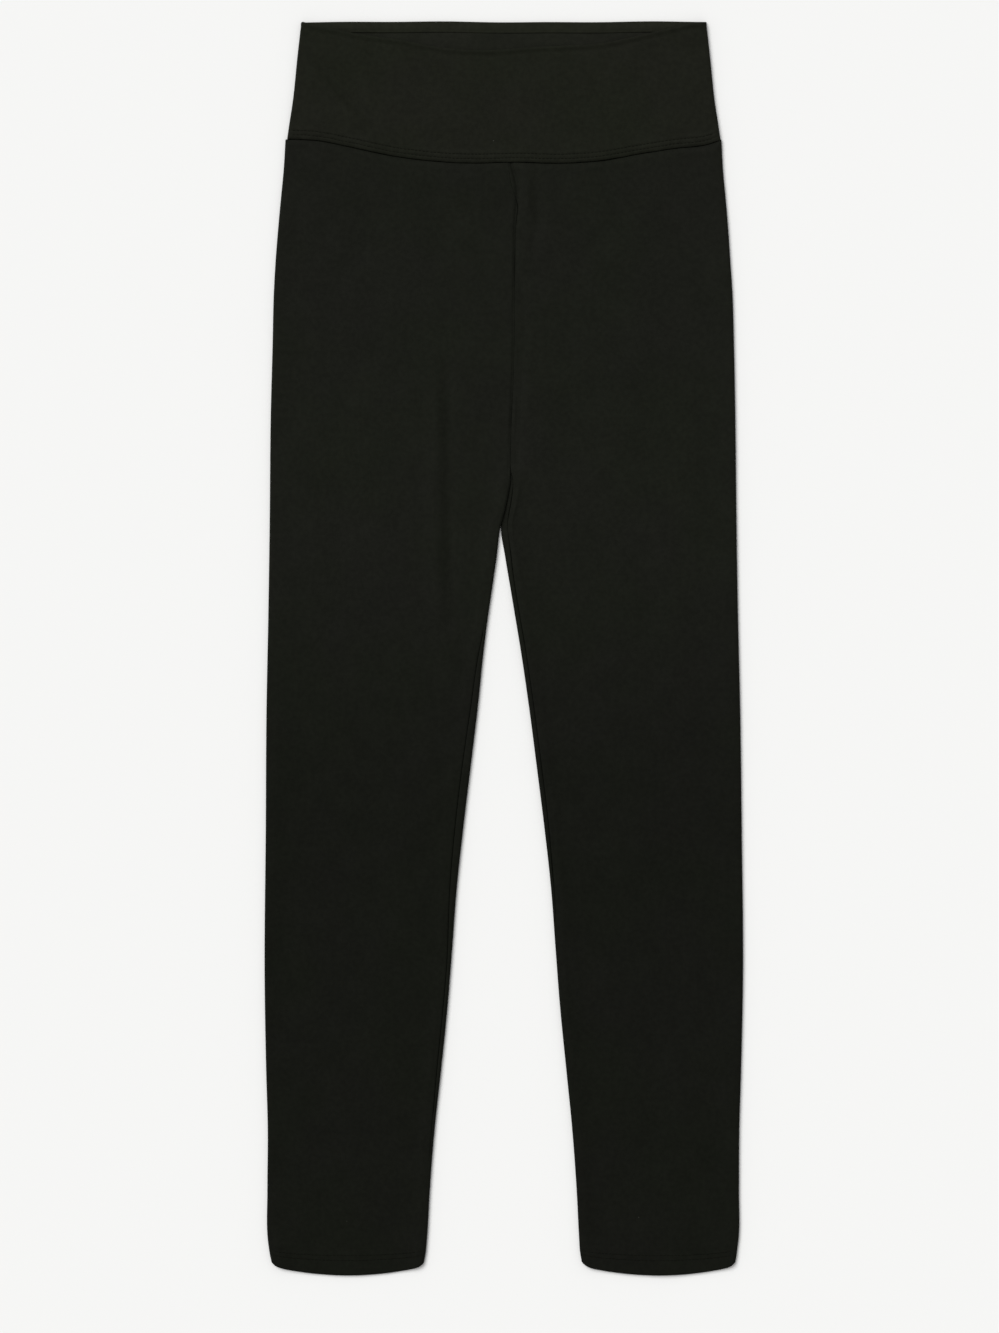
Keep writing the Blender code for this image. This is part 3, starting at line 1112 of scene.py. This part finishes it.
@dataclass
class Stitching:
    """Rows of separate stitches, joined into one mesh.

    length and pitch are those of one stitch, radius the thread's and sides the number of
    faces round it.
    """

    name: str
    length: float = 2.5
    pitch: float = 3.1
    radius: float = 0.2
    sides: int = 6
    unevenness: float = 0.12
    rows: list[Array] = field(default_factory=list)

    def add_row(self, route: Array, lay: Lay, seed: int) -> None:
        """Lay one row of stitches along a route.

        Args:
            route: Points of the row as across, down and up.
            lay: Where the garment lies.
            seed: The seed of the stitches' unevenness.
        """
        chance = np.random.default_rng(seed)
        steps = np.linalg.norm(np.diff(route, axis=0), axis=1)
        reach = np.concatenate(([0.0], np.cumsum(steps)))
        count = int(reach[-1] / self.pitch)
        starts = (np.arange(count) + 0.1) * self.pitch
        ends = starts + self.length * (1.0 + chance.uniform(-0.12, 0.08, count))
        wander = chance.normal(0.0, self.unevenness, (2, count))
        first = np.stack([np.interp(starts, reach, route[:, axis]) for axis in range(3)], axis=1)
        last = np.stack([np.interp(ends, reach, route[:, axis]) for axis in range(3)], axis=1)
        first[:, 1] += wander[0]
        last[:, 1] += wander[1]
        for begin, end in zip(first, last):
            pair = lay.place(*np.stack((begin, end), axis=1))
            self.rows.append(self.stitch(pair[0], pair[1]))

    def stitch(self, begin: Array, end: Array) -> Array:
        """The points of one stitch: rings along it, thin at both ends where it goes in."""
        forward = unit(end - begin)
        sideways = unit(np.cross(forward, (0.0, 0.0, 1.0)))
        upward = np.cross(sideways, forward)
        turns = 2.0 * math.pi * np.arange(self.sides) / self.sides
        rings = []
        for share, size, lift in STITCH_RINGS:
            middle = begin + (end - begin) * share + upward * lift * self.radius * MM
            ring = np.cos(turns)[:, None] * sideways + np.sin(turns)[:, None] * upward
            rings.append(middle + ring * size * self.radius * MM)
        return np.concatenate(rings)

    def build(self, material: bpy.types.Material) -> bpy.types.Object:
        """Make the object that holds every row."""
        per_stitch = len(self.rows[0])
        rings = per_stitch // self.sides
        turn = np.arange(self.sides)
        faces = []
        for stitch in range(len(self.rows)):
            base = stitch * per_stitch
            for ring in range(rings - 1):
                near = base + ring * self.sides + turn
                far = near + self.sides
                faces += np.stack((near, np.roll(near, -1), np.roll(far, -1), far), axis=1).tolist()
            faces.append((base + turn[::-1]).tolist())
            faces.append((base + (rings - 1) * self.sides + turn).tolist())
        mesh = bpy.data.meshes.new(self.name)
        mesh.from_pydata(np.concatenate(self.rows).tolist(), [], faces)
        mesh.shade_smooth()
        mesh.materials.append(material)
        piece = bpy.data.objects.new(self.name, mesh)
        bpy.context.scene.collection.objects.link(piece)
        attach(piece, "root")
        return piece


# --------------------------------------------------------------------------------------
# The garment
# --------------------------------------------------------------------------------------


RIGHT_CREASES = (
    Crease(((-44.5, 240.0), (-44.0, 330.0), (-43.0, 430.0), (-40.5, 505.0)), -1.2, 5.0, 1.5, -1, 0.3),
    Crease(((-60.0, 470.0), (-52.0, 560.0), (-49.0, 640.0)), -0.45, 7.0, 0.15, 1, 0.4),
    Crease(((-168.0, 300.0), (-160.0, 345.0), (-166.0, 390.0)), 0.7, 24.0, 0.0, 1, 0.4),
    Crease(((-34.0, 121.0), (-14.0, 132.0), (0.0, 152.0)), 0.9, 3.2, 0.0, 1, 0.35),
    Crease(((-44.0, 124.0), (-26.0, 128.0)), 0.45, 6.0, 0.0, 1, 0.5),
    Crease(((-120.0, 118.0), (-112.0, 150.0), (-118.0, 200.0)), -0.4, 9.0, 0.1, 1, 0.4),
    Crease(((-150.0, 560.0), (-120.0, 590.0), (-80.0, 600.0)), -0.4, 9.0, 0.15, 1, 0.4),
    Crease(((-175.0, 700.0), (-140.0, 716.0), (-96.0, 712.0)), 0.35, 10.0, 0.0, 1, 0.4),
    Crease(((-100.0, 820.0), (-108.0, 880.0), (-104.0, 950.0)), -0.4, 8.0, 0.15, 1, 0.4),
)
LEFT_CREASES = (
    Crease(((18.0, 108.0), (19.5, 135.0), (18.0, 162.0)), 1.1, 3.8, 0.0, 1, 0.3),
    Crease(((25.0, 122.0), (28.0, 155.0), (22.0, 196.0)), -1.3, 4.2, 0.3, 1, 0.35),
    Crease(((13.5, 190.0), (14.0, 250.0), (12.5, 300.0), (9.8, 374.0)), -1.5, 3.6, 0.3, 1, 0.25),
    Crease(((43.4, 640.0), (50.0, 700.0), (57.0, 760.0), (63.0, 830.0)), 0.45, 4.5, 0.0, 1, 0.3),
    Crease(((120.0, 430.0), (112.0, 500.0), (118.0, 570.0)), -0.45, 9.0, 0.15, -1, 0.4),
    Crease(((70.0, 180.0), (90.0, 230.0), (88.0, 300.0)), -0.4, 10.0, 0.1, 1, 0.4),
    Crease(((165.0, 620.0), (140.0, 640.0), (100.0, 636.0)), 0.4, 10.0, 0.0, 1, 0.4),
    Crease(((90.0, 760.0), (120.0, 790.0), (160.0, 796.0)), -0.35, 9.0, 0.1, 1, 0.4),
    Crease(((128.0, 850.0), (120.0, 900.0), (126.0, 960.0)), -0.35, 8.0, 0.1, -1, 0.4),
)
RIGHT_BACK_CREASES = (
    Crease(((-120.0, 320.0), (-118.0, 420.0), (-122.0, 500.0)), 0.5, 5.0, 0.0, 1, 0.35),
    Crease(((-60.0, 300.0), (-90.0, 340.0), (-130.0, 350.0)), 0.4, 6.0, 0.0, 1, 0.4),
    Crease(((-150.0, 640.0), (-110.0, 660.0), (-70.0, 650.0)), 0.4, 6.0, 0.0, 1, 0.4),
)
LEFT_BACK_CREASES = (
    Crease(((110.0, 300.0), (114.0, 380.0), (108.0, 470.0)), 0.5, 5.0, 0.0, 1, 0.35),
    Crease(((50.0, 310.0), (80.0, 345.0), (120.0, 360.0)), 0.4, 6.0, 0.0, 1, 0.4),
    Crease(((70.0, 680.0), (110.0, 700.0), (150.0, 690.0)), 0.4, 6.0, 0.0, 1, 0.4),
)
BAND_CREASES = (
    Crease(
        ((-156.0, 24.0), (-146.0, 35.0), (-131.0, 53.0), (-114.0, 72.0), (-100.0, 82.0), (-88.0, 88.0)),
        -1.5, 4.2, 1.3, -1, 0.3,
    ),
    Crease(((-120.0, 30.0), (-100.0, 44.0), (-84.0, 66.0)), -0.25, 8.0, 0.0, 1, 0.4),
    Crease(((60.0, 40.0), (84.0, 58.0), (120.0, 66.0)), -0.22, 8.0, 0.1, 1, 0.4),
    Crease(((-30.0, 50.0), (0.0, 60.0), (40.0, 56.0)), 0.25, 14.0, 0.0, 1, 0.4),
)


@dataclass
class Leggings:
    """The whole garment: two legs, the waistband's pieces and every row of stitches."""

    lay: Lay
    lines: Lines = field(default_factory=Lines)
    # The legs' colour darkens to 0.73 of itself towards the hem: painted shade for the light falling off
    # from the waist end.
    leg_finish: Jersey = Jersey("leg_jersey", (0.0074, 0.0084, 0.0056), (0.0077, 0.0081, 0.0061), hem_shade=0.73)
    # This colour is lighter than the legs': painted light for the brighter light at the waist end.
    band_finish: Jersey = Jersey("waistband_jersey", (0.0087, 0.0098, 0.0062), (0.0091, 0.0095, 0.0067))
    lip_finish: Jersey = Jersey("waistband_back_jersey", (0.0120, 0.0131, 0.0085), (0.0124, 0.0128, 0.0090))
    facing_finish: Jersey = Jersey("facing_jersey", (0.0098, 0.0106, 0.0074), (0.0101, 0.0103, 0.0078))
    thread_finish: Thread = Thread("black_thread", (0.0040, 0.0043, 0.0028))

    def dress(
        self, shell: Shell, node: str
    ) -> None:
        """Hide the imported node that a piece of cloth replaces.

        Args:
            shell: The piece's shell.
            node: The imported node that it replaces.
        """
        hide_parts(node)
        flat = shell.flat_positions()

    def leg(self, side: Side) -> Leg:
        """The leg of one side, with its own creases."""
        right = side is Side.RIGHT
        return Leg(
            side=side,
            lines=self.lines,
            outline=LEG_LINES[side],
            creases=RIGHT_CREASES if right else LEFT_CREASES,
            back_creases=RIGHT_BACK_CREASES if right else LEFT_BACK_CREASES,
            fold_lean=0.0 if right else 4.5,
        )

    def build_legs(self) -> None:
        """Make both legs and the stitches of their hems."""
        finish = self.leg_finish.material()
        thread = self.thread_finish.material()
        for side in Side:
            name = side.name.lower()
            leg = self.leg(side)
            shell, piece = leg.build(self.lay, finish, f"leg_{name}_cloth")
            self.dress(shell, f"leg_{name}")
            hem = Stitching(f"hem_stitching_{name}", pitch=2.9)
            low = self.lines.centre_front(leg.hem_row) * side.value + leg.outline.inner(leg.hem_row)
            high = leg.outline.outer(leg.hem_row)
            out = np.linspace(low + 2.6, high - 2.6, 120) * side.value
            for index, row in enumerate((leg.hem_row, leg.hem_row + 3.2)):
                down = leg.bent_down(out, np.full_like(out, row), 1.0)
                front = np.stack((out, down, leg.front_height(out, down) + 0.1), axis=1)
                hem.add_row(front, self.lay, 31 + index)
                back = np.stack((out, down, leg.back_height(out, down) + 0.05), axis=1)
                hem.add_row(back, self.lay, 41 + index)
            stitches = hem.build(thread)
            LOG.info("%s: %d stitches", stitches.name, len(hem.rows))

    def build_waistband(self) -> None:
        """Make the waistband's three pieces and the stitches above its seam."""
        thread = self.thread_finish.material()
        band_cloth = self.band_finish.material()
        back = BandBack(self.lines)
        shell, piece = back.build(self.lay, self.lip_finish.material())
        self.dress(shell, "waistband_back")
        facing = BandFacing(self.lines)
        shell, piece = facing.build(self.lay, self.facing_finish.material())
        self.dress(shell, "waistband_back_facing")
        front = BandFront(self.lines, BAND_CREASES)
        shell, piece = front.build(self.lay, band_cloth)
        self.dress(shell, "waistband_front")

        rows = Stitching("waist_stitching", pitch=3.0)
        reach = float(self.lines.band_side(86.0)) - 3.0
        across = np.linspace(-reach, reach, 240)
        for index, offset in enumerate(front.stitch_rows):
            down = self.lines.waist_seam(across) - offset
            up = front.surface(across, down) + 0.12
            rows.add_row(np.stack((across, down, up), axis=1), self.lay, 11 + index)
            down = np.full_like(across, self.lines.side_seam - offset)
            up = np.full_like(across, 0.36)
            rows.add_row(np.stack((across, down, up), axis=1), self.lay, 21 + index)
        stitches = rows.build(thread)
        LOG.info("%s: %d stitches", stitches.name, len(rows.rows))

    def build(self) -> None:
        """Make every piece."""
        self.build_legs()
        self.build_waistband()


# --------------------------------------------------------------------------------------
# Stage
# --------------------------------------------------------------------------------------


@dataclass(frozen=True)
class Studio:
    """A pale floor, soft light from above and a long lens straight over the garment."""

    floor_size: float = 14.0
    floor_colour: tuple[float, float, float] = (0.80, 0.80, 0.793)
    sky: float = 0.52
    key: float = 2.48
    key_softness: float = 40.0
    key_from: tuple[float, float, float] = (-0.44, 0.40, 0.80)
    camera_height: float = 3.0
    frame_height: float = 1.0664
    aim: tuple[float, float] = (-0.0034, -0.0143)
    sensor: float = 36.0

    def build_floor(self, floor: float) -> None:
        """Make the floor that the garment lies on."""
        half = self.floor_size / 2
        corners = [(-half, -half, floor), (half, -half, floor), (half, half, floor), (-half, half, floor)]
        mesh = bpy.data.meshes.new("floor")
        mesh.from_pydata(corners, [], [(0, 1, 2, 3)])
        nodes = Nodes("floor_paper")
        tint = (*self.floor_colour, 1.0)
        nodes.feed(nodes.shader, "Base Color", tint)
        nodes.feed(nodes.shader, "Roughness", 0.95)
        nodes.feed(nodes.shader, "Specular IOR Level", 0.0)
        mesh.materials.append(nodes.material)
        board = bpy.data.objects.new("floor", mesh)
        bpy.context.scene.collection.objects.link(board)
        board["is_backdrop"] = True

    def build_light(self) -> None:
        """Light the room evenly, with a broad lamp beyond the waist and to its right side."""
        world = bpy.data.worlds.new("studio")
        world.use_nodes = True
        background = world.node_tree.nodes["Background"]
        background.inputs["Color"].default_value = (1.0, 1.0, 0.995, 1.0)
        background.inputs["Strength"].default_value = self.sky
        bpy.context.scene.world = world
        lamp = bpy.data.lights.new("key", "SUN")
        lamp.energy = self.key
        lamp.angle = math.radians(self.key_softness)
        holder = bpy.data.objects.new("key", lamp)
        holder.rotation_euler = Vector(self.key_from).to_track_quat("Z", "Y").to_euler()
        bpy.context.scene.collection.objects.link(holder)

    def build_camera(self) -> None:
        """Look straight down, with the waist at the top of the picture."""
        lens = bpy.data.cameras.new("camera")
        lens.sensor_width = self.sensor
        lens.lens = self.sensor * self.camera_height / self.frame_height
        holder = bpy.data.objects.new("camera", lens)
        holder.location = (*self.aim, self.camera_height)
        bpy.context.scene.collection.objects.link(holder)
        bpy.context.scene.camera = holder

    def build(self, floor: float) -> None:
        """Make the floor, the light and the camera."""
        self.build_floor(floor)
        self.build_light()
        self.build_camera()
        bpy.context.scene.view_settings.view_transform = "Standard"


def corners(box: tuple[Vector, Vector]) -> list[list[float]]:
    """A box's lowest and highest corners as plain lists."""
    return [list(corner) for corner in box]


def main() -> None:
    """Load the frame, dress every piece on it and set the stage."""
    logging.basicConfig(level=logging.INFO, format="%(name)s: %(message)s")
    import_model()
    lay = Lay.from_frame()
    Leggings(lay).build()
    Studio().build(lay.floor)


if __name__ == "__main__":
    main()
